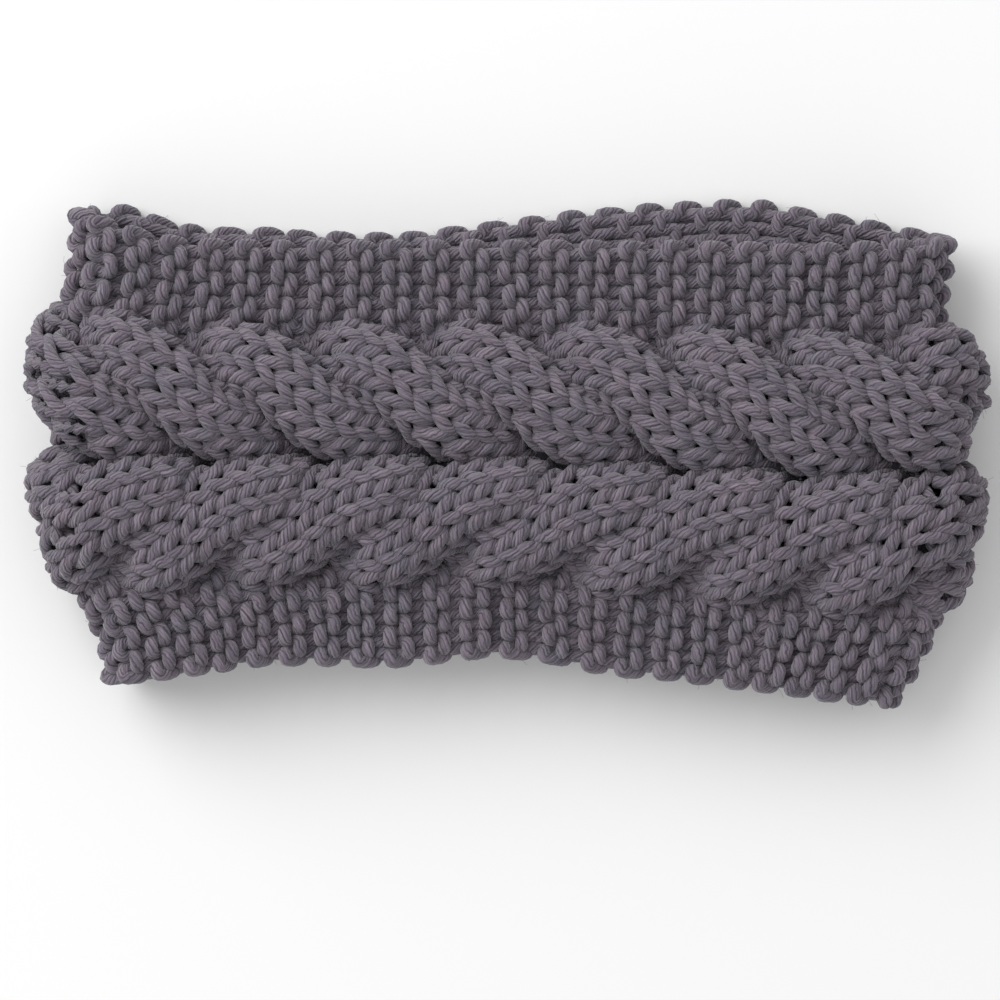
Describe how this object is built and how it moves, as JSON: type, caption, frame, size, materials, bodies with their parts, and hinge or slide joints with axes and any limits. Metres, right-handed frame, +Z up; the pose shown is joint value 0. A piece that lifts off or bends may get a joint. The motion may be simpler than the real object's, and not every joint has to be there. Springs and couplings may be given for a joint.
{
  "type": "ear warmer headband",
  "caption": "Wide knitted ear warmer headband with a horseshoe cable between two garter stitch borders, lying flat as a folded loop.",
  "frame": {"origin": "on the ground, under the middle of the headband's box", "axes": "+X from the left fold to the right fold, +Y towards the upper edge of the band, +Z up from the surface that it lies on"},
  "size_m": [0.21, 0.1125, 0.0294],
  "materials": {
    "yarn": "thick plied purple-grey yarn, matt, with a slight fuzz"
  },
  "bodies": {
    "root": {"border_upper": "yarn", "border_lower": "yarn", "cable_upper_strand_a": "yarn", "cable_upper_strand_b": "yarn", "cable_lower_strand_a": "yarn", "cable_lower_strand_b": "yarn"}
  },
  "joints": []
}
